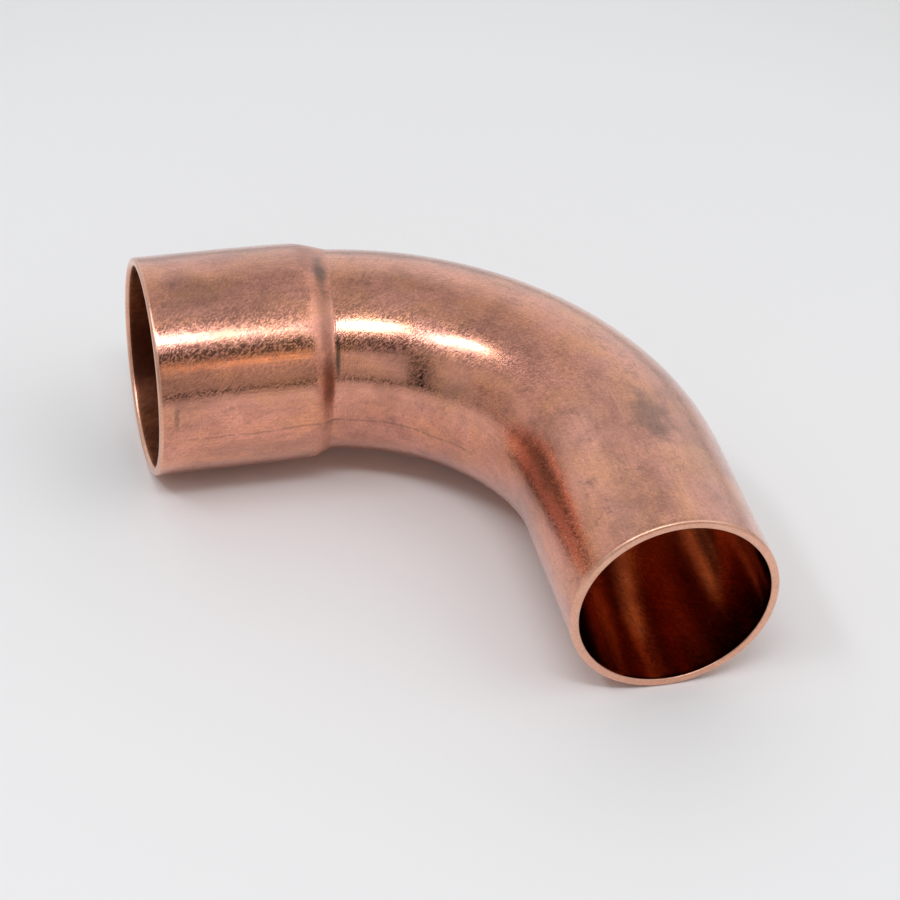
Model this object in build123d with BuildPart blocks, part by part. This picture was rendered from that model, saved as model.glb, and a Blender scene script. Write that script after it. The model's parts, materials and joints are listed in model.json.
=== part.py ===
"""Long-radius 90 degree street elbow for soldered copper tube.

The fitting is one length of drawn tube: bent, belled at one end into a socket, and left
plain at the other as a spigot that goes into the next fitting's socket.

Frame, in millimetres: the origin is the centre of the socket's mouth. The socket opens
towards -X, the spigot points along -Y, and the bend lies in the XY plane with +Z up.
"""

import os

from build123d import *

# Driving dimensions
TUBE_OD = 28.575  # outside diameter of the tube that the fitting joins, 1 1/8 inch
SOCKET_BORE = 28.68  # slides over that tube and leaves a film for the solder
WALL = 1.2
SOCKET_DEPTH = 23.1
SHOULDER_LENGTH = 3.4  # from the end of the socket to the neck
BEND_START = 21.8  # the tube was bent from here, then its end was belled and sized straight
BEND_RADIUS = 38.4
BEND_ANGLE = 90
SPIGOT_LENGTH = 24.2

# Rounds that belling leaves on the outside of the tube, at each end of the shoulder
SHOULDER_ROUND = 4.0
NECK_ROUND = 5.0

# Rounds that trimming and tumbling leave on the two ends
SOCKET_RIM_ROUND = 0.5
SPIGOT_RIM_ROUND = 0.45
SPIGOT_INNER_ROUND = 0.2

# What follows from them
SPIGOT_RADIUS = TUBE_OD / 2
SPIGOT_BORE_RADIUS = SPIGOT_RADIUS - WALL
SOCKET_BORE_RADIUS = SOCKET_BORE / 2
SOCKET_RADIUS = SOCKET_BORE_RADIUS + WALL

# The centreline: the socket's, which is straight, and the bend's and spigot's. They overlap
# by the little that sizing straightened.
with BuildLine() as centreline:
    socket_run = Line((0, 0), (SOCKET_DEPTH, 0))
    bend_run = JernArc((BEND_START, 0), socket_run % 1, BEND_RADIUS, -BEND_ANGLE)
    spigot_run = Line(bend_run @ 1, bend_run @ 1 + SPIGOT_LENGTH * (bend_run % 1))

bend_axis = Axis(bend_run.arc_center, (0, 0, -1))
neck_share = (SOCKET_DEPTH + SHOULDER_LENGTH - BEND_START) / bend_run.length


def section_plane(run: Edge, share: float) -> Plane:
    """The plane square to a run of the centreline, with its X towards the inside of the bend."""
    return Plane(run @ share, x_dir=(run % share).cross(Vector(0, 0, 1)), z_dir=run % share)


mouth = section_plane(socket_run, 0)
shoulder = section_plane(socket_run, 1)
neck = section_plane(bend_run, neck_share)
bend_end = section_plane(bend_run, 1)
spigot_end = section_plane(spigot_run, 1)


def rings_at(part: BuildPart, plane: Plane) -> ShapeList[Edge]:
    """The circular edges centred where the centreline meets a plane, smallest first."""
    rings = part.edges().filter_by(GeomType.CIRCLE)
    return rings.filter_by(lambda ring: ring.arc_center == plane.origin).sort_by(SortBy.RADIUS)


def tube_form(socket_radius: float, spigot_radius: float, shoulder_round: float, neck_round: float) -> Part:
    """A solid in the shape of the fitting's outside, or of the passage through it."""
    with BuildPart() as form:
        with BuildSketch(mouth):
            Circle(socket_radius)
        extrude(amount=SOCKET_DEPTH)
        with BuildSketch(shoulder):
            Circle(socket_radius)
        with BuildSketch(neck):
            Circle(spigot_radius)
        loft()
        with BuildSketch(neck):
            Circle(spigot_radius)
        revolve(axis=bend_axis, revolution_arc=BEND_ANGLE * (1 - neck_share))
        with BuildSketch(bend_end):
            Circle(spigot_radius)
        extrude(amount=SPIGOT_LENGTH)
        fillet(rings_at(form, shoulder), shoulder_round)
        fillet(rings_at(form, neck), neck_round)
    return form.part


# The wall keeps its thickness round each corner, so a round is one wall tighter on the
# side that it curves towards.
outside = tube_form(SOCKET_RADIUS, SPIGOT_RADIUS, SHOULDER_ROUND, NECK_ROUND)
passage = tube_form(SOCKET_BORE_RADIUS, SPIGOT_BORE_RADIUS, SHOULDER_ROUND - WALL, NECK_ROUND + WALL)

with BuildPart() as elbow:
    add(outside)
    add(passage, mode=Mode.SUBTRACT)
    fillet(rings_at(elbow, mouth), SOCKET_RIM_ROUND)
    fillet(rings_at(elbow, spigot_end)[0], SPIGOT_INNER_ROUND)
    fillet(rings_at(elbow, spigot_end)[-1], SPIGOT_RIM_ROUND)

elbow.part.label = "elbow"

os.makedirs("parts", exist_ok=True)
export_step(elbow.part, "parts/elbow.step")
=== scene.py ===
"""The looks of a copper street elbow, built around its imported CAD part.

The elbow is one length of drawn tube, bent through a right angle, belled at one end into a
socket and left plain at the other as a spigot. The origin is the centre of the socket's mouth,
which opens towards -X. The spigot points along -Y, and +Z is square to the bend. Lengths are in
metres, and sizes that come from the drawing are given times MM.

The materials read each point's place on the straightened tube: how far it lies towards the
outside of the bend, how high, and how far along the centreline from the socket's mouth.
"""

from __future__ import annotations

import cmath
import json
import logging
import math
from dataclasses import dataclass, field
from enum import IntEnum
from functools import reduce

import bpy
import numpy as np
from mathutils import Matrix, Vector

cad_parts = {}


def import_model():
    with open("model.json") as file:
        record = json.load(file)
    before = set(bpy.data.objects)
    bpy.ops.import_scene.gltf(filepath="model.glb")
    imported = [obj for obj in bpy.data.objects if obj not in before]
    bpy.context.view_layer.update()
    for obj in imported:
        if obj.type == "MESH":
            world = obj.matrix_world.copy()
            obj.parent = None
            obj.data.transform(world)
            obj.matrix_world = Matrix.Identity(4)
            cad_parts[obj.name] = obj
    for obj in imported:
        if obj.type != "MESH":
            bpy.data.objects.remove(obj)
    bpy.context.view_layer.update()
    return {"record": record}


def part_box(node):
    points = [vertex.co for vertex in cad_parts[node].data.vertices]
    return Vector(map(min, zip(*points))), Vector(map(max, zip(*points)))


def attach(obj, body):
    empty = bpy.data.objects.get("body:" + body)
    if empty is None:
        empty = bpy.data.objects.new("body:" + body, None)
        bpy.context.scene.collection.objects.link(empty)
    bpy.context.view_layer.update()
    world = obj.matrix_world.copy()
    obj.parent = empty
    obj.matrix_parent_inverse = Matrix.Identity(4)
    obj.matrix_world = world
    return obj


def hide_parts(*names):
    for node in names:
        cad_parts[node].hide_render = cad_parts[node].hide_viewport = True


MM = 0.001
SOCKET_DEPTH = 23.1 * MM
SHOULDER_LENGTH = 3.4 * MM
BEND_RADIUS = 38.4 * MM
FORM = "tube_form"  # the attribute that holds each point's place on the straightened tube

log = logging.getLogger("street_elbow")

Colour = tuple[float, float, float]
Socket = bpy.types.NodeSocket


class Skin(IntEnum):
    """The elbow's surfaces, in the order of their material slots."""

    OUTSIDE = 0
    BORE = 1
    RIM = 2


def direction(azimuth: float, elevation: float) -> Vector:
    """The way to something that stands round the elbow.

    Args:
        azimuth: Radians, 0 towards -Y and a quarter turn towards +X.
        elevation: Radians above the horizon.

    Returns:
        The unit vector.
    """
    level = math.cos(elevation)
    return Vector((math.sin(azimuth) * level, -math.cos(azimuth) * level, math.sin(elevation)))


# ---------------------------------------------------------------------------------------
# Node building
# ---------------------------------------------------------------------------------------


class Sheet:
    """A node tree that is filled node by node."""

    def __init__(self, tree: bpy.types.NodeTree) -> None:
        """Starts on a tree.

        Args:
            tree: The node tree to fill.
        """
        self.tree = tree

    def feed(self, node: bpy.types.Node, inputs: dict[str | int, object]) -> bpy.types.Node:
        """Wires or sets a node's inputs.

        Args:
            node: The node.
            inputs: Input name or number to a value, or to the socket that feeds it.

        Returns:
            The same node.
        """
        for key, value in inputs.items():
            if isinstance(value, Socket):
                self.tree.links.new(value, node.inputs[key])
            else:
                node.inputs[key].default_value = value
        return node

    def add(
        self, kind: str, inputs: dict[str | int, object] | None = None, **settings: object
    ) -> bpy.types.Node:
        """Adds a node, sets it up and wires it.

        Args:
            kind: The node's type, without its ShaderNode prefix.
            inputs: Input name or number to a value, or to the socket that feeds it.
            **settings: The node's own properties.

        Returns:
            The new node.
        """
        node = self.tree.nodes.new("ShaderNode" + kind)
        for name, value in settings.items():
            setattr(node, name, value)
        return self.feed(node, inputs or {})

    def math(self, operation: str, *terms: object) -> Socket:
        """One step of arithmetic on values or sockets, and its result."""
        return self.add("Math", dict(enumerate(terms)), operation=operation).outputs[0]

    def ramp(
        self, value: object, low: object, high: object, to_low: float = 0.0, to_high: float = 1.0
    ) -> Socket:
        """A smooth step from one level to another.

        Args:
            value: The socket that is stepped.
            low: Where the step starts.
            high: Where the step ends.
            to_low: The level before the step.
            to_high: The level after the step.

        Returns:
            The stepped value.
        """
        inputs = {"Value": value, "From Min": low, "From Max": high, "To Min": to_low, "To Max": to_high}
        return self.add("MapRange", inputs, interpolation_type="SMOOTHSTEP").outputs["Result"]

    def mix(self, share: object, first: object, second: object, blend: str = "MIX") -> Socket:
        """Mixes two colours.

        Args:
            share: How much of the second colour, as a value or a socket.
            first: A colour or a socket.
            second: A colour or a socket.
            blend: The blend type.

        Returns:
            The mixed colour.
        """
        ends = [end if isinstance(end, Socket) else (*end, 1.0) for end in (first, second)]
        inputs = {0: share, 6: ends[0], 7: ends[1]}
        return self.add("Mix", inputs, data_type="RGBA", blend_type=blend).outputs[2]

    def grey(self, value: Socket) -> Socket:
        """A value as a grey."""
        return self.add("CombineColor", {0: value, 1: value, 2: value}).outputs[0]

    def noise(
        self, vector: object, scale: object, detail: float = 3.0, rough: float = 0.5, warp: float = 0.0
    ) -> Socket:
        """A noise pattern's value.

        Args:
            vector: Where the pattern is read.
            scale: Cells to the metre.
            detail: Octaves.
            rough: How strong the finer octaves are.
            warp: Distortion.

        Returns:
            The pattern, about 0 to 1.
        """
        inputs = {"Vector": vector, "Scale": scale, "Detail": detail, "Roughness": rough, "Distortion": warp}
        return self.add("TexNoise", inputs).outputs[0]

    def scaled(self, vector: object, scale: tuple[float, float, float]) -> Socket:
        """A vector scaled along each axis."""
        return self.add("Mapping", {"Vector": vector, "Scale": scale}).outputs[0]


class EffectGroup:
    """A shader node group in the making: its tree, its sheet, and its input and output nodes."""

    def __init__(self, name: str, inputs: dict[str, tuple[str, object]], outputs: tuple[str, ...]) -> None:
        """Starts the group, with a Vector input that says where on the tube it is read.

        Args:
            name: The group's name.
            inputs: Input name to its kind, Float or Vector, and its default value.
            outputs: The names of its value outputs.
        """
        self.tree = bpy.data.node_groups.new(name, "ShaderNodeTree")
        self.sheet = Sheet(self.tree)
        for key, (kind, value) in {"Vector": ("Vector", (0, 0, 0)), **inputs}.items():
            socket = self.tree.interface.new_socket(
                name=key, in_out="INPUT", socket_type="NodeSocket" + kind
            )
            socket.default_value = value
        for key in outputs:
            self.tree.interface.new_socket(name=key, in_out="OUTPUT", socket_type="NodeSocketFloat")
        self.given = self.tree.nodes.new("NodeGroupInput").outputs
        self.out = self.tree.nodes.new("NodeGroupOutput")

    def finish(self, results: dict[str, Socket]) -> bpy.types.NodeTree:
        """Wires the group's outputs.

        Args:
            results: Output name to the socket that feeds it.

        Returns:
            The finished group.
        """
        self.sheet.feed(self.out, results)
        return self.tree


@dataclass(frozen=True)
class TubeEffects:
    """The surface effects that the finishes share, each a node group on the straightened tube."""

    grain: bpy.types.NodeTree
    oxide: bpy.types.NodeTree
    smudge: bpy.types.NodeTree
    draw_line: bpy.types.NodeTree

    @classmethod
    def build(cls) -> TubeEffects:
        """Builds each group once."""
        return cls(cls._grain(), cls._oxide(), cls._smudge_and_shade(), cls._draw_line())

    @staticmethod
    def _grain() -> bpy.types.NodeTree:
        """Fine crumpled strokes, drawing lines along the tube, and the height of both.

        Returns:
            The group.
        """
        group = EffectGroup(
            "tube_grain",
            {"Stroke size": ("Float", 0.3 * MM), "Line strength": ("Float", 0.4)},
            ("Strokes", "Lines", "Hairs", "Height"),
        )
        sheet, given = group.sheet, group.given
        place = given["Vector"]
        cells = sheet.math("DIVIDE", 1.0, given["Stroke size"])
        slant = {"Vector": place, "Rotation": (-0.47, 0.53, 0.0), "Scale": (1.0, 1.0, 2.6)}
        slanted = sheet.add("Mapping", slant, vector_type="TEXTURE").outputs[0]
        strokes = sheet.noise(slanted, cells, 2.5, 0.6, 1.1)
        lines = sheet.noise(sheet.scaled(place, (1.0, 1.0, 0.025)), 3200.0, 3.0, 0.6)
        height = sheet.math("ADD", strokes, sheet.math("MULTIPLY", lines, given["Line strength"]))
        curls = sheet.noise(slanted, 620.0, 1.5, 0.5, 0.8)
        hairs = sheet.ramp(sheet.math("ABSOLUTE", sheet.math("SUBTRACT", curls, 0.5)), 0.035, 0.004)
        patches = sheet.ramp(sheet.noise(place, 260.0, 3.0, 0.6), 0.45, 0.62)
        hairs = sheet.math("MULTIPLY", hairs, patches)
        return group.finish({"Strokes": strokes, "Lines": lines, "Hairs": hairs, "Height": height})

    @staticmethod
    def _oxide() -> bpy.types.NodeTree:
        """A cloudy film of oxide, in patches of a stated size.

        Returns:
            The group.
        """
        group = EffectGroup(
            "oxide_film",
            {
                "Patch size": ("Float", 10 * MM),
                "Stretch": ("Float", 0.6),
                "From": ("Float", 0.42),
                "To": ("Float", 0.68),
                "Shift": ("Float", 0.0),
            },
            ("Film",),
        )
        sheet, given = group.sheet, group.given
        stretch = sheet.add("CombineXYZ", {0: 1.0, 1: 1.0, 2: given["Stretch"]}).outputs[0]
        place = sheet.add("VectorMath", {0: given["Vector"], 1: stretch}, operation="MULTIPLY").outputs[0]
        place = sheet.add("VectorMath", {0: place, 1: given["Shift"]}, operation="ADD").outputs[0]
        cells = sheet.math("DIVIDE", 1.0, given["Patch size"])
        clouds = sheet.noise(place, cells, 6.0, 0.56, 0.35)
        return group.finish({"Film": sheet.ramp(clouds, given["From"], given["To"])})

    @staticmethod
    def _smudge_and_shade() -> bpy.types.NodeTree:
        """One ragged dark patch, centred at a point of the straightened tube; it draws real blemishes and
        painted shade alike.

        Returns:
            The group.
        """
        group = EffectGroup(
            "smudge",
            {
                "Centre": ("Vector", (0, 0, 0)),
                "Size": ("Vector", (5 * MM, 5 * MM, 5 * MM)),
                "Rag": ("Float", 0.5),
            },
            ("Patch",),
        )
        sheet, given = group.sheet, group.given
        away = sheet.add("VectorMath", {0: given["Vector"], 1: given["Centre"]}, operation="SUBTRACT")
        share = sheet.add("VectorMath", {0: away.outputs[0], 1: given["Size"]}, operation="DIVIDE")
        far = sheet.add("VectorMath", {0: share.outputs[0]}, operation="LENGTH").outputs["Value"]
        rag = sheet.noise(given["Vector"], 420.0, 5.0, 0.6, 0.4)
        rag = sheet.math("MULTIPLY", sheet.math("SUBTRACT", rag, 0.5), given["Rag"])
        far = sheet.math("ADD", far, sheet.math("MULTIPLY", rag, 2.4))
        return group.finish({"Patch": sheet.ramp(far, 1.3, 0.2)})

    @staticmethod
    def _draw_line() -> bpy.types.NodeTree:
        """A thin dark line along the inner side of the tube, where a draw mark broke up.

        Returns:
            The group.
        """
        group = EffectGroup(
            "draw_line",
            {
                "Height": ("Float", -2 * MM),
                "Width": ("Float", 0.12 * MM),
                "Start": ("Float", 10 * MM),
                "End": ("Float", 60 * MM),
            },
            ("Line",),
        )
        sheet, given = group.sheet, group.given
        place = given["Vector"]
        outwards, height, station = sheet.add("SeparateXYZ", {0: place}).outputs
        fade = 3 * MM
        wander = sheet.noise(sheet.scaled(place, (0.0, 0.0, 1.0)), 70.0, 2.0)
        wander = sheet.math("MULTIPLY", sheet.math("SUBTRACT", wander, 0.5), 2.2 * MM)
        off = sheet.math("SUBTRACT", sheet.math("ADD", height, wander), given["Height"])
        share = sheet.math("DIVIDE", sheet.math("ABSOLUTE", off), given["Width"])
        line = sheet.ramp(share, 1.0, 0.1)
        inner = sheet.ramp(outwards, 0.0, -4 * MM)
        begun = sheet.ramp(sheet.math("SUBTRACT", station, given["Start"]), 0.0, fade)
        ended = sheet.ramp(sheet.math("SUBTRACT", station, given["End"]), fade, 0.0)
        broken = sheet.ramp(sheet.noise(place, 500.0, 3.0), 0.30, 0.52)
        for term in (inner, begun, ended, broken):
            line = sheet.math("MULTIPLY", line, term)
        return group.finish({"Line": line})


# ---------------------------------------------------------------------------------------
# Finishes
# ---------------------------------------------------------------------------------------


@dataclass(frozen=True)
class StainAndShade:
    """A dark patch on the tube, given by its place along and around it; some are real blemishes, others
    painted shade and a painted reflection.
    """

    along: float
    around: float  # degrees, 0 at the outside of the bend and 90 at the top
    length: float
    width: float
    strength: float
    rag: float = 0.5


@dataclass(frozen=True)
class Clouds:
    """One scale of the cloudy oxide: how large its patches are and where they start and end."""

    patch_size: float
    start: float
    full: float
    stretch: float
    shift: float = 0.0

    def place(self, sheet: Sheet, effects: TubeEffects, point: Socket) -> Socket:
        """Places the shared oxide group with this scale's values.

        Args:
            sheet: The material's sheet.
            effects: The shared node groups.
            point: The point on the straightened tube.

        Returns:
            How thick the film is, 0 to 1.
        """
        node = sheet.add("Group", node_tree=effects.oxide)
        values = {
            "Vector": point,
            "Patch size": self.patch_size,
            "From": self.start,
            "To": self.full,
            "Stretch": self.stretch,
            "Shift": self.shift,
        }
        return sheet.feed(node, values).outputs["Film"]


WIDE_CLOUDS = Clouds(15 * MM, 0.44, 0.62, 0.6)
CLOSE_CLOUDS = Clouds(2.7 * MM, 0.42, 0.64, 0.65, 0.21)
TINT_CLOUDS = Clouds(5 * MM, 0.40, 0.62, 0.55, 0.43)


@dataclass(frozen=True)
class DrawLine:
    """The dark draw line on the inner side: its height on the tube, its width, its ends and its strength."""

    height: float = -1.7 * MM
    width: float = 0.34 * MM
    start: float = 2 * MM
    end: float = 58 * MM
    strength: float = 0.42

    def place(self, sheet: Sheet, effects: TubeEffects, point: Socket) -> Socket:
        """Places the shared draw line group with these values.

        Args:
            sheet: The material's sheet.
            effects: The shared node groups.
            point: The point on the straightened tube.

        Returns:
            How dark the line is, 0 to 1.
        """
        node = sheet.add("Group", node_tree=effects.draw_line)
        values = {
            "Vector": point,
            "Height": self.height,
            "Width": self.width,
            "Start": self.start,
            "End": self.end,
        }
        return sheet.math("MULTIPLY", sheet.feed(node, values).outputs["Line"], self.strength)


@dataclass(frozen=True)
class FormingRings:
    """The fine rings that belling left round the neck."""

    spacing: float = 0.46 * MM
    waver: float = 9.0  # radians that the rings wander by
    height: float = 0.7  # a share of the grain's height
    run_in: tuple[float, float] = (-0.8 * MM, 0.6 * MM)  # where they begin, from the neck
    run_out: float = 12 * MM  # where they have died away, from the neck

    def place(self, sheet: Sheet, point: Socket, station: Socket, neck: float) -> Socket:
        """Draws the rings.

        Args:
            sheet: The material's sheet.
            point: The point on the straightened tube.
            station: The distance along the tube.
            neck: Where the shoulder ends, along the tube.

        Returns:
            The rings' height.
        """
        waver = sheet.math("MULTIPLY", sheet.noise(point, 160.0, 2.0), self.waver)
        turns = sheet.math("ADD", sheet.math("MULTIPLY", station, 2 * math.pi / self.spacing), waver)
        rings = sheet.math("MULTIPLY", sheet.math("SINE", turns), sheet.noise(point, 420.0, 2.0))
        begun = sheet.ramp(station, neck + self.run_in[0], neck + self.run_in[1])
        ended = sheet.ramp(station, neck + self.run_out, neck)
        zone = sheet.math("MULTIPLY", begun, ended)
        return sheet.math("MULTIPLY", sheet.math("MULTIPLY", rings, zone), self.height)


@dataclass(frozen=True)
class CopperFinish:
    """A copper surface: its metal, the oxide over it, and how rough it is."""

    name: str
    metal: Colour
    warm: Colour
    oxide: Colour
    # The dark colour of the hairs and the dark patches, painted shade among them.
    soot_and_shade: Colour
    rough: float  # from the socket to the middle of the bend
    rough_spigot: float
    rough_spread: float  # how much duller the hollows of the grain are
    film: float  # how much the oxide covers
    grain_depth: float
    stroke_size: float
    stroke_shade: float
    hair_shade: float
    # The dark patches: real blemishes, and patches of painted shade and painted reflection.
    stains_and_shade: tuple[StainAndShade, ...] = ()
    draw_line: DrawLine | None = None
    rings: FormingRings | None = None
    wide_share: float = 0.52  # the wide clouds' part of the film, with the close ones' the rest
    rough_film: float = 0.06  # how much duller the oxide is
    rough_stretched: float = 0.24  # and the shoulder, where the metal was stretched
    sheen: float = 0.6  # how strongly the clear film over the metal shines
    sheen_rough: float = 0.16

    def make(self, effects: TubeEffects, form: Centreline) -> bpy.types.Material:
        """Builds the material.

        Args:
            effects: The shared node groups.
            form: The tube's centreline, which places what sits at a station.

        Returns:
            The material.
        """
        material = bpy.data.materials.new(self.name)
        material.use_nodes = True
        material.node_tree.nodes.clear()
        sheet = Sheet(material.node_tree)
        point = sheet.add("Attribute", attribute_type="GEOMETRY", attribute_name=FORM).outputs["Vector"]
        station = sheet.add("SeparateXYZ", {0: point}).outputs[2]
        grain = sheet.add("Group", node_tree=effects.grain)
        sheet.feed(grain, {"Vector": point, "Stroke size": self.stroke_size})
        film = self._film(sheet, effects, point)

        height = grain.outputs["Height"]
        if self.rings:
            height = sheet.math("ADD", height, self.rings.place(sheet, point, station, form.neck))
        bump = sheet.add("Bump", {"Strength": 1.0, "Distance": self.grain_depth, "Height": height})
        shader = sheet.add(
            "BsdfPrincipled",
            {
                "Base Color": self._colour(sheet, effects, form, point, grain, film),
                "Roughness": self._roughness(sheet, form, station, grain, film),
                "Normal": bump.outputs[0],
                "Metallic": 1.0,
                "Coat Weight": self.sheen,
                "Coat Roughness": self.sheen_rough,
                "Coat Normal": bump.outputs[0],
            },
        )
        sheet.add("OutputMaterial", {0: shader.outputs[0]})
        return material

    def _film(self, sheet: Sheet, effects: TubeEffects, point: Socket) -> Socket:
        """The oxide film, wide clouds and close ones together.

        Args:
            sheet: The material's sheet.
            effects: The shared node groups.
            point: The point on the straightened tube.

        Returns:
            How much the oxide covers, 0 to 1.
        """
        wide = sheet.math("MULTIPLY", WIDE_CLOUDS.place(sheet, effects, point), self.wide_share)
        close = sheet.math("MULTIPLY", CLOSE_CLOUDS.place(sheet, effects, point), 1.0 - self.wide_share)
        return sheet.math("MULTIPLY", sheet.math("ADD", wide, close), self.film)

    def _colour(
        self,
        sheet: Sheet,
        effects: TubeEffects,
        form: Centreline,
        point: Socket,
        grain: bpy.types.Node,
        film: Socket,
    ) -> Socket:
        """The metal's colour, under its oxide, strokes, hairs, draw line and dark patches; some of those
        patches are painted shade and one a painted reflection.

        Args:
            sheet: The material's sheet.
            effects: The shared node groups.
            form: The tube's centreline.
            point: The point on the straightened tube.
            grain: The placed grain group.
            film: How much the oxide covers.

        Returns:
            The colour.
        """
        colour = sheet.mix(TINT_CLOUDS.place(sheet, effects, point), self.metal, self.warm)
        colour = sheet.mix(film, colour, self.oxide)
        for key, low, high, depth in (
            ("Strokes", 0.34, 0.66, self.stroke_shade),
            ("Lines", 0.3, 0.7, 0.35 * self.stroke_shade),
        ):
            shade = sheet.ramp(grain.outputs[key], low, high, 1.0 - depth, 1.0 + depth)
            colour = sheet.mix(1.0, colour, sheet.grey(shade), "MULTIPLY")
        hairs = sheet.math("MULTIPLY", grain.outputs["Hairs"], self.hair_shade)
        colour = sheet.mix(hairs, colour, self.soot_and_shade)
        marks_and_shade = [self._stain_and_shade(sheet, effects, form, point, dark_patch) for dark_patch in self.stains_and_shade]
        if self.draw_line:
            marks_and_shade.append(self.draw_line.place(sheet, effects, point))
        if not marks_and_shade:
            return colour
        # Real blemishes and painted shade alike darken towards one dark colour.
        dark = reduce(lambda one, other: sheet.math("MAXIMUM", one, other), marks_and_shade)
        return sheet.mix(dark, colour, self.soot_and_shade)

    @staticmethod
    def _stain_and_shade(sheet: Sheet, effects: TubeEffects, form: Centreline, point: Socket, dark_patch: StainAndShade) -> Socket:
        """Places the shared patch group at one dark patch; some patches are real blemishes, some painted
        shade.

        Args:
            sheet: The material's sheet.
            effects: The shared node groups.
            form: The tube's centreline.
            point: The point on the straightened tube.
            dark_patch: The dark patch, a real blemish or painted shade.

        Returns:
            How dark the stain is, 0 to 1.
        """
        angle = math.radians(dark_patch.around)
        radius = form.radius(dark_patch.along)
        node = sheet.add("Group", node_tree=effects.smudge)
        values = {
            "Vector": point,
            "Centre": (radius * math.cos(angle), radius * math.sin(angle), dark_patch.along),
            "Size": (dark_patch.width, dark_patch.width, dark_patch.length),
            "Rag": dark_patch.rag,
        }
        return sheet.math("MULTIPLY", sheet.feed(node, values).outputs["Patch"], dark_patch.strength)

    def _roughness(
        self, sheet: Sheet, form: Centreline, station: Socket, grain: bpy.types.Node, film: Socket
    ) -> Socket:
        """How rough the metal is, from the socket to the spigot.

        Args:
            sheet: The material's sheet.
            form: The tube's centreline.
            station: The distance along the tube.
            grain: The placed grain group.
            film: How much the oxide covers.

        Returns:
            The roughness.
        """
        rough = sheet.ramp(station, form.neck + 18 * MM, form.neck + 50 * MM, self.rough, self.rough_spigot)
        hollows = sheet.ramp(grain.outputs["Strokes"], 0.42, 0.60, 0.0, self.rough_spread)
        begun = sheet.ramp(station, form.socket_depth - 1.2 * MM, form.socket_depth + 0.2 * MM)
        ended = sheet.ramp(station, form.neck + 0.5 * MM, form.neck - 0.6 * MM)
        stretched = sheet.math("MULTIPLY", begun, ended)
        for term in (
            hollows,
            sheet.math("MULTIPLY", film, self.rough_film),
            sheet.math("MULTIPLY", stretched, self.rough_stretched),
        ):
            rough = sheet.math("ADD", rough, term)
        return rough


OUTSIDE_FINISH = CopperFinish(
    name="drawn_copper_outside",
    metal=(0.79, 0.342, 0.240),
    warm=(0.80, 0.348, 0.202),
    oxide=(0.42, 0.176, 0.129),
    soot_and_shade=(0.12, 0.075, 0.055),
    rough=0.085,
    rough_spigot=0.12,
    rough_spread=0.18,
    film=0.70,
    grain_depth=0.012 * MM,
    stroke_size=0.24 * MM,
    stroke_shade=0.17,
    hair_shade=0.30,
    stains_and_shade=(
        StainAndShade(84.3 * MM, 82, 6.5 * MM, 3.6 * MM, 0.62, 0.7),
        StainAndShade(92 * MM, 66, 9 * MM, 2.6 * MM, 0.15, 0.8),
        StainAndShade(25.1 * MM, 98, 1.15 * MM, 4.6 * MM, 0.8, 0.6),
        # Painted reflection: darkens the streak on the inner side near the spigot, where the tube mirrors
        # the shaded socket.
        StainAndShade(84 * MM, 152, 12 * MM, 2.2 * MM, 0.55, 0.5),
        StainAndShade(53 * MM, 154, 6 * MM, 2.6 * MM, 0.28, 0.7),
        # A darker band along the top of the socket near its mouth.
        StainAndShade(7 * MM, 104, 6 * MM, 4 * MM, 0.30, 0.8),
        StainAndShade(38 * MM, 96, 11 * MM, 2.4 * MM, 0.26, 0.8),
        StainAndShade(2.4 * MM, 171, 0.4 * MM, 2.0 * MM, 0.5, 0.4),
        StainAndShade(14 * MM, -162, 9 * MM, 2.4 * MM, 0.22, 0.9),
        # A dark line in the concave corner where the shoulder meets the neck.
        StainAndShade(27.3 * MM, 147, 0.62 * MM, 3.6 * MM, 0.95, 0.2),
        # Painted shade: darkens the front of the shoulder's concave ramp, which mirrors shaded copper.
        StainAndShade(25.4 * MM, 158, 1.8 * MM, 3.8 * MM, 0.62, 0.5),
        StainAndShade(25.2 * MM, 124, 1.7 * MM, 7.0 * MM, 0.38, 0.4),
    ),
    draw_line=DrawLine(),
    rings=FormingRings(),
)
BORE_FINISH = CopperFinish(
    name="drawn_copper_bore",
    metal=(0.70, 0.31, 0.15),
    warm=(0.68, 0.28, 0.12),
    oxide=(0.36, 0.13, 0.08),
    # The bore's dark colour, for its hairs and for the painted shade deep in the socket.
    soot_and_shade=(0.10, 0.03, 0.018),
    rough=0.30,
    rough_spigot=0.09,
    rough_spread=0.05,
    film=0.7,
    grain_depth=0.009 * MM,
    stroke_size=0.4 * MM,
    stroke_shade=0.18,
    hair_shade=0.3,
    stains_and_shade=(
        # Painted shade: darkens the far inside of the socket, deep in the bore where little light reaches.
        StainAndShade(4 * MM, -30, 24 * MM, 15 * MM, 0.92, 0.3),
        StainAndShade(102 * MM, 165, 5 * MM, 4 * MM, 0.5, 0.8),
    ),
    sheen=0.1,
)
RIM_FINISH = CopperFinish(
    name="cut_copper_rim",
    metal=(0.84, 0.46, 0.33),
    warm=(0.82, 0.42, 0.28),
    oxide=(0.56, 0.29, 0.21),
    soot_and_shade=(0.10, 0.05, 0.04),
    rough=0.30,
    rough_spigot=0.30,
    rough_spread=0.10,
    film=0.3,
    grain_depth=0.010 * MM,
    stroke_size=0.22 * MM,
    stroke_shade=0.10,
    hair_shade=0.1,
)


# ---------------------------------------------------------------------------------------
# The elbow
# ---------------------------------------------------------------------------------------


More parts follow.
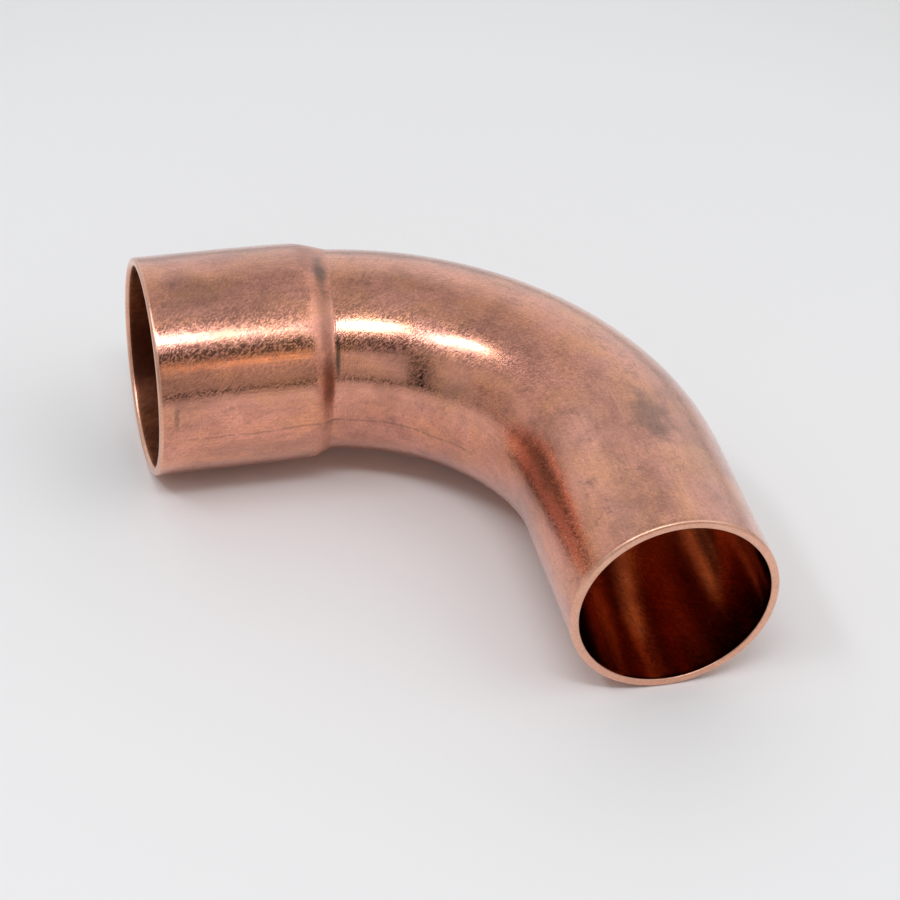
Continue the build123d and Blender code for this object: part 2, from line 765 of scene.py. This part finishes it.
@dataclass(frozen=True)
class Centreline:
    """The tube's centreline and outside radius: straight socket, shoulder, bend, straight spigot."""

    socket_radius: float
    spigot_radius: float
    socket_depth: float
    shoulder_length: float
    bend_start: float
    bend_radius: float
    spigot_length: float
    top_corner: float = 0.34  # how far the shoulder is rounded into the socket, as a share of its length
    neck_corner: float = 0.14  # and into the neck

    @property
    def neck(self) -> float:
        """Where the shoulder ends, along the tube."""
        return self.socket_depth + self.shoulder_length

    @property
    def bend_end(self) -> float:
        """Where the bend ends, along the tube."""
        return self.bend_start + self.bend_radius * math.pi / 2

    @property
    def length(self) -> float:
        """The tube's whole length along its centreline."""
        return self.bend_end + self.spigot_length

    @property
    def bend_centre(self) -> Vector:
        """The point that the bend turns about."""
        return Vector((self.bend_start, -self.bend_radius, 0.0))

    def radius(self, station: float) -> float:
        """The outside radius: the socket's, the spigot's, or the shoulder's ramp between them.

        Args:
            station: Distance along the tube from the socket's mouth.

        Returns:
            The radius.
        """
        share = (station - self.socket_depth) / self.shoulder_length
        fall = self._corner(share, self.top_corner) - self._corner(share - 1.0, self.neck_corner)
        return self.socket_radius + (self.spigot_radius - self.socket_radius) * fall

    @staticmethod
    def _corner(share: float, rounding: float) -> float:
        """A ramp that starts at 0, with a rounded corner there."""
        return 0.5 * (share + math.hypot(share, rounding))

    def unroll(self, points: np.ndarray) -> np.ndarray:
        """Each point's place on the tube as if it were straightened along +Z.

        Args:
            points: Points on or near the tube, one to a row.

        Returns:
            Rows of distance towards the outside of the bend, height, and distance along the tube.
        """
        x, y, z = points.T
        turn = np.arctan2(x - self.bend_start, y + self.bend_radius)
        straight_in = (x < self.bend_start) & (y > -self.bend_radius)
        straight_out = (y < -self.bend_radius) & ~straight_in
        out = np.hypot(x - self.bend_start, y + self.bend_radius) - self.bend_radius
        out = np.where(straight_in, y, np.where(straight_out, x - self.bend_start - self.bend_radius, out))
        along = self.bend_start + self.bend_radius * turn
        along = np.where(straight_in, x, np.where(straight_out, self.bend_end - self.bend_radius - y, along))
        return np.stack((out, z, along), axis=1)


@dataclass
class ElbowTube:
    """The fitting itself: one tube, bent, belled and trimmed."""

    form: Centreline
    wall: float
    segments: int = 144
    coarse_step: float = 1.05 * MM
    fine_step: float = 0.34 * MM
    round_lead: float = 1.4 * MM  # how far the shoulder's rounding reaches past each of its corners
    socket_rim_round: float = 0.5 * MM
    spigot_rim_round: float = 0.42 * MM
    spigot_inner_round: float = 0.2 * MM
    rim_segments: int = 4
    ripple: float = 0.05 * MM
    ripple_size: float = 14 * MM
    tiny: float = 0.001 * MM  # points closer than this are one
    piece: bpy.types.Object = field(init=False, default=None)
    station: float = field(init=False, default=0.0)

    def build(self) -> bpy.types.Object:
        """Models the tube.

        Returns:
            The finished piece, before its materials.
        """
        self._start_ring()
        bpy.ops.object.mode_set(mode="EDIT")
        self._draw_out(self.form.socket_depth - self.round_lead, self.coarse_step)
        self._draw_out(self.round_lead, self.fine_step)
        self._turn_shoulder()
        self._bend(self.round_lead, self.fine_step)
        self._bend(self.form.bend_end - self.station, self.coarse_step)
        self._draw_out(self.form.spigot_length, self.coarse_step)
        bpy.ops.mesh.select_all(action="SELECT")
        bpy.ops.mesh.remove_doubles(threshold=self.tiny)
        bpy.ops.mesh.normals_make_consistent(inside=False)
        bpy.ops.object.mode_set(mode="OBJECT")
        self._face_outwards()
        self._ripple()
        self._add_wall()
        self._round_rims()
        bpy.ops.object.shade_smooth()
        self._record_form()
        return self.piece

    def _start_ring(self) -> None:
        """The ring of the socket's mouth, square to X."""
        bpy.ops.mesh.primitive_circle_add(
            vertices=self.segments,
            radius=self.form.radius(0.0),
            fill_type="NOTHING",
            location=(0, 0, 0),
            rotation=(0, math.pi / 2, 0),
        )
        self.piece = bpy.context.object
        self.piece.name = "elbow_tube"
        bpy.ops.object.transform_apply(location=True, rotation=True, scale=True)

    def _advance(self, station: float, centre: Vector) -> None:
        """Sets the selected ring's radius to the one of its new station.

        Args:
            station: The ring's new distance along the tube.
            centre: The ring's centre.
        """
        ratio = self.form.radius(station) / self.form.radius(self.station)
        bpy.ops.transform.resize(value=(ratio,) * 3, center_override=centre)
        self.station = station

    def _draw_out(self, length: float, step: float) -> None:
        """Extends the tube straight on from the selected ring.

        Args:
            length: How far.
            step: About how far apart the rings are.
        """
        count = max(1, round(length / step))
        ahead = Vector((1, 0, 0)) if self.station < self.form.bend_start else Vector((0, -1, 0))
        for _ in range(count):
            move = ahead * (length / count)
            bpy.ops.mesh.extrude_region_move(TRANSFORM_OT_translate={"value": move})
            station = self.station + length / count
            self._advance(station, self._centre(station))

    def _centre(self, station: float) -> Vector:
        """Where the centreline runs.

        Args:
            station: Distance along the tube.

        Returns:
            The centreline's point there.
        """
        form = self.form
        if station <= form.socket_depth:
            return Vector((station, 0, 0))
        turn = min((station - form.bend_start) / form.bend_radius, math.pi / 2)
        spot = form.bend_centre + form.bend_radius * Vector((math.sin(turn), math.cos(turn), 0))
        return spot - Vector((0, max(station - form.bend_end, 0.0), 0))

    def _spin_on(self, centre: Vector, turn: float) -> None:
        """Sweeps the selected ring on by one step of a turn towards -Y."""
        bpy.ops.mesh.spin(steps=1, angle=turn, center=centre, axis=(0, 0, 1))

    def _turn_shoulder(self) -> None:
        """Sweeps the ring at the socket's end onto the bend, narrowing it to the neck."""
        form = self.form
        turn = (form.neck - form.bend_start) / form.bend_radius
        start, end = self._centre(form.socket_depth), self._centre(form.neck)
        swing = cmath.exp(-1j * turn)
        pole = (complex(end.x, end.y) - swing * complex(start.x, start.y)) / (1 - swing)
        count = round(form.shoulder_length / self.fine_step)
        for step in range(1, count + 1):
            self._spin_on(Vector((pole.real, pole.imag, 0)), turn / count)
            part = cmath.exp(-1j * turn * step / count)
            spot = part * (complex(start.x, start.y) - pole) + pole
            station = form.socket_depth + form.shoulder_length * step / count
            self._advance(station, Vector((spot.real, spot.imag, 0)))

    def _bend(self, length: float, step: float) -> None:
        """Sweeps the tube on round the bend.

        Args:
            length: How far, along the centreline.
            step: About how far apart the rings are.
        """
        count = max(1, round(length / step))
        for _ in range(count):
            self._spin_on(self.form.bend_centre, length / count / self.form.bend_radius)
            station = self.station + length / count
            self._advance(station, self._centre(station))

    def _face_outwards(self) -> None:
        """Turns the faces outwards if they look into the bore."""
        polygon = self.piece.data.polygons[0]
        if polygon.normal.dot(Vector((0, polygon.center.y, polygon.center.z))) < 0:
            self.piece.data.flip_normals()

    def _ripple(self) -> None:
        """Lets the drawn wall wander a few hundredths of a millimetre, as a real one does."""
        clouds = bpy.data.textures.new("wall_wander", "CLOUDS")
        clouds.noise_scale = self.ripple_size
        clouds.noise_depth = 1
        wander = self.piece.modifiers.new("wander", "DISPLACE")
        wander.texture = clouds
        wander.texture_coords = "LOCAL"
        wander.mid_level = 0.5
        wander.strength = self.ripple * 2
        bpy.ops.object.modifier_apply(modifier=wander.name)

    def _add_wall(self) -> None:
        """Gives the tube its wall, inwards from the outside."""
        wall = self.piece.modifiers.new("wall", "SOLIDIFY")
        wall.thickness = self.wall
        wall.offset = -1.0
        wall.use_even_offset = True
        wall.use_rim = True
        bpy.ops.object.modifier_apply(modifier=wall.name)

    def _round_rims(self) -> None:
        """Rounds the edges that trimming left at both mouths."""
        form = self.form
        mid_socket = form.socket_radius - self.wall / 2
        mid_spigot = form.spigot_radius - self.wall / 2
        for at_socket, outer, width in (
            (True, True, self.socket_rim_round),
            (True, False, self.socket_rim_round),
            (False, True, self.spigot_rim_round),
            (False, False, self.spigot_inner_round),
        ):
            mesh = self.piece.data
            outwards, height, along = self._unrolled(mesh.vertices, "co").T
            at_end = np.abs(along - (0.0 if at_socket else form.length)) < 10 * self.tiny
            beyond_middle = np.hypot(outwards, height) > (mid_socket if at_socket else mid_spigot)
            chosen = at_end & (beyond_middle == outer)
            bpy.ops.object.mode_set(mode="EDIT")
            bpy.ops.mesh.select_all(action="DESELECT")
            bpy.ops.object.mode_set(mode="OBJECT")
            for edge in mesh.edges:
                edge.select = bool(chosen[edge.vertices[0]] and chosen[edge.vertices[1]])
            bpy.ops.object.mode_set(mode="EDIT")
            bpy.ops.mesh.select_mode(type="EDGE")
            bpy.ops.mesh.bevel(
                offset=width, segments=self.rim_segments, affect="EDGES", clamp_overlap=False
            )
            bpy.ops.mesh.select_mode(type="VERT")
            bpy.ops.object.mode_set(mode="OBJECT")

    def _unrolled(self, items: bpy.types.bpy_prop_collection, key: str) -> np.ndarray:
        """Where the mesh's points or faces lie on the straightened tube.

        Args:
            items: The mesh's vertices or polygons.
            key: The name of their point.

        Returns:
            Rows of distance towards the outside of the bend, height, and distance along the tube.
        """
        places = np.empty(len(items) * 3)
        items.foreach_get(key, places)
        return self.form.unroll(places.reshape(-1, 3))

    def _record_form(self) -> None:
        """Stores each point's place on the straightened tube, for the materials."""
        mesh = self.piece.data
        form_places = self._unrolled(mesh.vertices, "co")
        attribute = mesh.attributes.new(FORM, "FLOAT_VECTOR", "POINT")
        attribute.data.foreach_set("vector", form_places.astype(np.float32).ravel())

    def dress(self, effects: TubeEffects) -> None:
        """Gives the outside, the bore and the rims their finishes.

        Args:
            effects: The shared node groups.
        """
        mesh = self.piece.data
        for finish in (OUTSIDE_FINISH, BORE_FINISH, RIM_FINISH):
            mesh.materials.append(finish.make(effects, self.form))
        outwards, height, along = self._unrolled(mesh.polygons, "center").T
        outside = np.array([self.form.radius(float(station)) for station in along])
        skins = np.where(np.hypot(outwards, height) > outside - self.wall / 2, Skin.OUTSIDE, Skin.BORE)
        rims = (along < self.socket_rim_round) | (along > self.form.length - self.spigot_rim_round)
        skins = np.where(rims, Skin.RIM, skins)
        mesh.polygons.foreach_set("material_index", skins.astype(np.int32))
        mesh.update()


# ---------------------------------------------------------------------------------------
# The studio
# ---------------------------------------------------------------------------------------


@dataclass(frozen=True)
class SkyPatch:
    """A soft-edged part of the surroundings: which way it lies, its width and height, and its light."""

    azimuth: float  # degrees, 0 towards -Y and 90 towards +X
    elevation: float
    half_width: float
    half_height: float
    colour: Colour
    soft: float = 5.0


@dataclass(frozen=True)
class Softbox:
    """A rectangular lamp that faces the elbow."""

    name: str
    azimuth: float
    elevation: float
    width: float
    height: float
    watts: float
    colour: Colour = (0.97, 1.0, 1.06)
    distance: float = 0.9


@dataclass
class Studio:
    """The floor, the lamps and the surroundings."""

    target: Vector
    floor_height: float
    floor_tilt: float
    floor_size: float = 6.0
    # A painted pool of light on the board: its colour round the elbow, its colour far off, and where it
    # fades between them.
    board_in_painted_light: Colour = (0.865, 0.85, 0.835)
    board_past_painted_light: Colour = (0.62, 0.60, 0.58)
    painted_light_fade: tuple[float, float] = (120 * MM, 300 * MM)  # from the elbow's middle
    softboxes: tuple[Softbox, ...] = (
        Softbox("front_softbox", -18.5, 66, 0.43, 0.12, 1.9),
        Softbox("side_softbox", -82, 57, 0.34, 0.10, 1.15),
        Softbox("fill_softbox", 62, 52, 0.80, 0.60, 1.1),
    )
    base: tuple[tuple[float, Colour], ...] = (
        (-8.0, (0.42, 0.41, 0.41)),
        (4.0, (0.50, 0.49, 0.48)),
        (20.0, (0.66, 0.65, 0.63)),
        (50.0, (0.54, 0.54, 0.55)),
        (80.0, (0.54, 0.56, 0.59)),
    )
    patches: tuple[SkyPatch, ...] = (
        SkyPatch(172, 20, 46, 24, (0.84, 0.91, 0.95), 24),
        SkyPatch(12, 12, 26, 14, (0.46, 0.43, 0.38), 8),
        SkyPatch(-92, 12, 12, 14, (0.40, 0.37, 0.35), 8),
        SkyPatch(-8, 43, 44, 8, (0.13, 0.12, 0.11), 4),
        SkyPatch(-50, 14, 6, 21, (0.0, 0.0, 0.0), 4),
        SkyPatch(10, 32, 9, 2.0, (1.8, 1.20, 0.62), 2),
        SkyPatch(-18, 1.5, 42, 4, (0.0, 0.0, 0.0), 2),
    )

    def build(self) -> None:
        """Sets up the floor, the lamps and the sky."""
        self._floor()
        for softbox in self.softboxes:
            self._softbox(softbox)
        self._sky()

    def _floor(self) -> None:
        """A pale matt board that the elbow rests on, with a painted pool of light: lighter round the elbow
        and darker farther off.
        """
        bpy.ops.mesh.primitive_plane_add(
            size=self.floor_size, location=(0, 0, self.floor_height), rotation=(-self.floor_tilt, 0, 0)
        )
        floor = bpy.context.object
        floor.name = "floor"
        material = bpy.data.materials.new("pale_board")
        material.use_nodes = True
        shader = material.node_tree.nodes["Principled BSDF"]
        sheet = Sheet(material.node_tree)
        place = sheet.add("TexCoord").outputs["Object"]
        away = sheet.add("VectorMath", {0: place, 1: self.target}, operation="DISTANCE").outputs["Value"]
        # Painted pool of light: the board darkens with distance from the elbow.
        colour = sheet.mix(sheet.ramp(away, *self.painted_light_fade), self.board_in_painted_light, self.board_past_painted_light)
        sheet.feed(shader, {"Base Color": colour, "Roughness": 0.5, "Specular IOR Level": 0.3})
        floor.data.materials.append(material)

    def _softbox(self, softbox: Softbox) -> None:
        """Hangs one lamp and points it at the elbow.

        Args:
            softbox: The lamp.
        """
        towards = direction(math.radians(softbox.azimuth), math.radians(softbox.elevation))
        lamp = bpy.data.lights.new(softbox.name, "AREA")
        lamp.shape = "RECTANGLE"
        lamp.size, lamp.size_y = softbox.width, softbox.height
        lamp.energy = softbox.watts
        lamp.color = softbox.colour
        hung = bpy.data.objects.new(softbox.name, lamp)
        bpy.context.scene.collection.objects.link(hung)
        hung.location = self.target + towards * softbox.distance
        across = Vector((0, 0, 1)).cross(towards).normalized()
        axes = Matrix((across, towards.cross(across), towards)).transposed()
        hung.rotation_euler = axes.to_euler()

    def _sky(self) -> None:
        """The surroundings that the metal mirrors: a dim room with dark gaps and a warm strip."""
        world = bpy.data.worlds.new("room")
        bpy.context.scene.world = world
        world.use_nodes = True
        world.node_tree.nodes.clear()
        sheet = Sheet(world.node_tree)
        ray = sheet.add("TexCoord").outputs["Generated"]
        parts = sheet.add("SeparateXYZ", {0: ray})
        elevation = sheet.math("ARCSINE", parts.outputs[2])
        azimuth = sheet.math("ARCTAN2", parts.outputs[0], sheet.math("MULTIPLY", parts.outputs[1], -1.0))
        colour: object = self.base[0][1]
        for (low, _), (high, tone) in zip(self.base, self.base[1:]):
            share = sheet.ramp(elevation, math.radians(low), math.radians(high))
            colour = sheet.mix(share, colour, tone)
        for patch in self.patches:
            mask = None
            for value, centre, half in (
                (azimuth, patch.azimuth, patch.half_width),
                (elevation, patch.elevation, patch.half_height),
            ):
                away = sheet.math("COSINE", sheet.math("SUBTRACT", value, math.radians(centre)))
                away = sheet.math("ARCCOSINE", away)
                outer, inner = math.radians(half + patch.soft / 2), math.radians(half - patch.soft / 2)
                edge = sheet.ramp(away, outer, inner)
                mask = edge if mask is None else sheet.math("MULTIPLY", mask, edge)
            colour = sheet.mix(mask, colour, patch.colour)
        light = sheet.add("Background", {"Color": colour, "Strength": 1.0})
        sheet.add("OutputWorld", {0: light.outputs[0]})


@dataclass(frozen=True)
class Viewpoint:
    """Where the elbow is seen from: angles in degrees, and the lens in millimetres."""

    azimuth: float = -16.1
    elevation: float = 38.73
    roll: float = 3.84
    distance: float = 427.75 * MM
    target: tuple[float, float, float] = (38.70 * MM, -25.87 * MM, 0.0)
    lens: float = 123.87

    def build(self) -> bpy.types.Object:
        """Makes the camera.

        Returns:
            The camera.
        """
        azimuth, elevation, roll = map(math.radians, (self.azimuth, self.elevation, self.roll))
        back = direction(azimuth, elevation)
        level = (-back).cross(Vector((0, 0, 1))).normalized()
        upright = level.cross(-back)
        right = level * math.cos(roll) + upright * math.sin(roll)
        top = upright * math.cos(roll) - level * math.sin(roll)
        data = bpy.data.cameras.new("camera")
        data.lens = self.lens
        data.sensor_width = 36.0
        data.clip_start = 0.01
        camera = bpy.data.objects.new("camera", data)
        bpy.context.scene.collection.objects.link(camera)
        camera.location = Vector(self.target) + back * self.distance
        camera.rotation_euler = Matrix((right, top, back)).transposed().to_euler()
        bpy.context.scene.camera = camera
        return camera


# ---------------------------------------------------------------------------------------
# Building
# ---------------------------------------------------------------------------------------


def mount(record: dict, name: str) -> dict:
    """One of the record's mounts, by its name."""
    return next(m for m in record["mounts"] if m["name"] == name)


def read_form(record: dict) -> tuple[Centreline, float]:
    """Works the tube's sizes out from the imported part.

    Args:
        record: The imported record.

    Returns:
        The centreline and the wall's thickness.
    """
    socket, spigot = mount(record, "socket"), mount(record, "spigot")
    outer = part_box("elbow")[1].z
    spigot_x, spigot_y, _ = spigot["pos_m"]
    form = Centreline(
        socket_radius=outer,
        spigot_radius=spigot["dims"]["r_mm"] * MM,
        socket_depth=SOCKET_DEPTH,
        shoulder_length=SHOULDER_LENGTH,
        bend_start=spigot_x - BEND_RADIUS,
        bend_radius=BEND_RADIUS,
        spigot_length=-spigot_y - BEND_RADIUS,
    )
    return form, outer - socket["dims"]["r_mm"] * MM


def main() -> None:
    """Builds the elbow, its stage and its viewpoint."""
    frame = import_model()
    bpy.ops.object.select_all(action="DESELECT")
    bpy.context.scene.view_settings.view_transform = "Standard"

    form, wall = read_form(frame["record"])
    elbow = ElbowTube(form, wall)
    piece = elbow.build()
    elbow.dress(TubeEffects.build())
    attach(piece, "root")
    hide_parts("elbow")
    log.info("%s: %d faces, wall %.2f mm", piece.name, len(piece.data.polygons), wall / MM)

    drop = form.socket_radius
    tilt = math.atan((form.socket_radius - form.spigot_radius) / (form.bend_radius + form.spigot_length))
    Studio(Vector(Viewpoint.target), -drop, tilt).build()
    log.info("floor %.2f mm below the origin, tilted %.2f degrees", drop / MM, math.degrees(tilt))
    Viewpoint().build()


if __name__ == "__main__":
    logging.basicConfig(level=logging.INFO)
    main()
